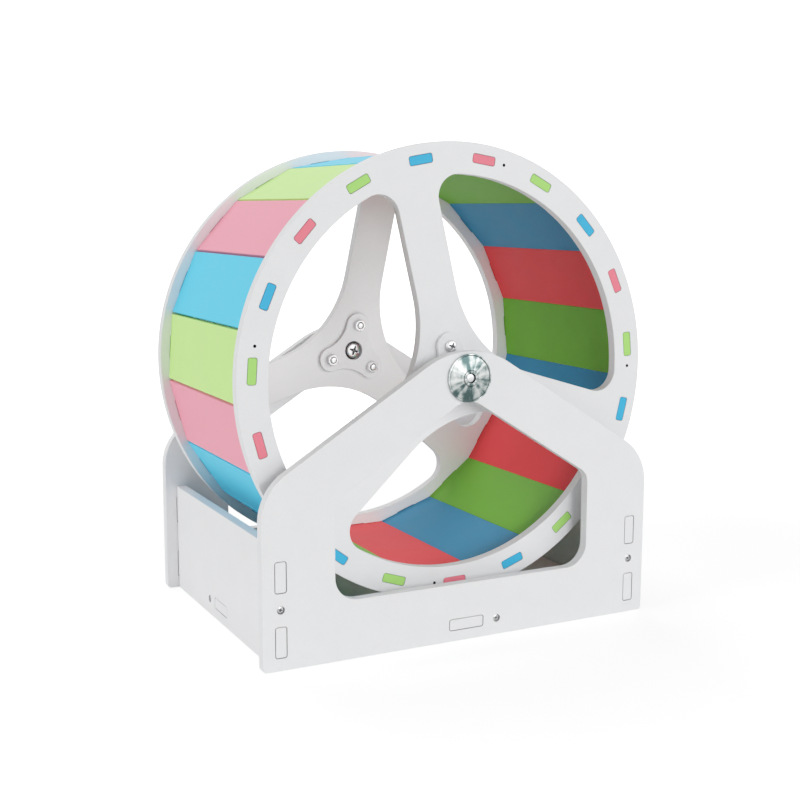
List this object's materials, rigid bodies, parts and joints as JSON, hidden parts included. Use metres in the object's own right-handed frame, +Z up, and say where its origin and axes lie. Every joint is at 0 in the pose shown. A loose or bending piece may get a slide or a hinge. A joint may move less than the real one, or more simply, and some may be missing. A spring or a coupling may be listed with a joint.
{
  "type": "hamster wheel",
  "caption": "Hamster wheel: a drum of flat coloured slats between spoked white discs, turning on ball bearings in a stand of flat boards with open frames.",
  "frame": {"origin": "on the surface it stands on, under the middle of its overall box, which is the middle of the stand", "axes": "X along the two frames, Y along the axle from the front frame to the rear one, Z up"},
  "size_m": [0.21, 0.1484, 0.227],
  "materials": {
    "white_board": "satin white board",
    "blue_board": "satin sky blue board",
    "pink_board": "satin coral pink board",
    "green_board": "satin leaf green board",
    "white_plate": "smooth white plate",
    "bright_steel": "plated steel",
    "chrome": "polished chrome plate",
    "bearing_balls": "polished steel"
  },
  "bodies": {
    "stand": {"front_frame": "white_board", "rear_frame": "white_board", "left_end_panel": "white_board", "right_end_panel": "white_board", "base_panel": "white_board", "front_axle_screw": "bright_steel", "front_axle_flange_nut": "chrome", "front_bearing_inner_ring": "bright_steel", "front_frame_screw_left": "bright_steel", "front_frame_screw_right": "bright_steel", "front_frame_screw_base": "bright_steel", "rear_axle_screw": "bright_steel", "rear_axle_flange_nut": "chrome", "rear_bearing_inner_ring": "bright_steel", "rear_frame_screw_left": "bright_steel", "rear_frame_screw_right": "bright_steel", "rear_frame_screw_base": "bright_steel", "left_panel_screw": "bright_steel", "right_panel_screw": "bright_steel"},
    "wheel": {"wheel_front_disc": "white_board", "wheel_rear_disc": "white_board", "slat_01": "blue_board", "slat_02": "pink_board", "slat_03": "green_board", "slat_04": "blue_board", "slat_05": "pink_board", "slat_06": "green_board", "slat_07": "blue_board", "slat_08": "pink_board", "slat_09": "green_board", "slat_10": "blue_board", "slat_11": "pink_board", "slat_12": "green_board", "slat_13": "blue_board", "slat_14": "blue_board", "slat_15": "pink_board", "slat_16": "green_board", "slat_17": "blue_board", "slat_18": "pink_board", "slat_19": "green_board", "front_hub_outer_plate": "white_plate", "front_hub_inner_plate": "white_plate", "front_bearing_outer_ring": "bright_steel", "front_hub_screw_1": "bright_steel", "front_hub_nut_1": "bright_steel", "front_hub_screw_2": "bright_steel", "front_hub_nut_2": "bright_steel", "front_hub_screw_3": "bright_steel", "front_hub_nut_3": "bright_steel", "rear_hub_outer_plate": "white_plate", "rear_hub_inner_plate": "white_plate", "rear_bearing_outer_ring": "bright_steel", "rear_hub_screw_1": "bright_steel", "rear_hub_nut_1": "bright_steel", "rear_hub_screw_2": "bright_steel", "rear_hub_nut_2": "bright_steel", "rear_hub_screw_3": "bright_steel", "rear_hub_nut_3": "bright_steel"},
    "front_bearing_balls": {"front_bearing_balls_and_cage": "bearing_balls"},
    "rear_bearing_balls": {"rear_bearing_balls_and_cage": "bearing_balls"}
  },
  "joints": [
    {"name": "wheel_spin", "type": "hinge", "parent": "stand", "child": "wheel", "pos_m": [0, 0, 0.122], "axis": [0, 1, 0], "continuous": true},
    {"name": "front_bearing_cage_spin", "type": "hinge", "parent": "stand", "child": "front_bearing_balls", "pos_m": [0, -0.0555, 0.122], "axis": [0, 1, 0], "continuous": true},
    {"name": "rear_bearing_cage_spin", "type": "hinge", "parent": "stand", "child": "rear_bearing_balls", "pos_m": [0, 0.0555, 0.122], "axis": [0, 1, 0], "continuous": true}
  ],
  "couplings": [
    {"joint": "front_bearing_cage_spin", "follows": "wheel_spin", "ratio": 0.6294},
    {"joint": "rear_bearing_cage_spin", "follows": "wheel_spin", "ratio": 0.6294}
  ]
}
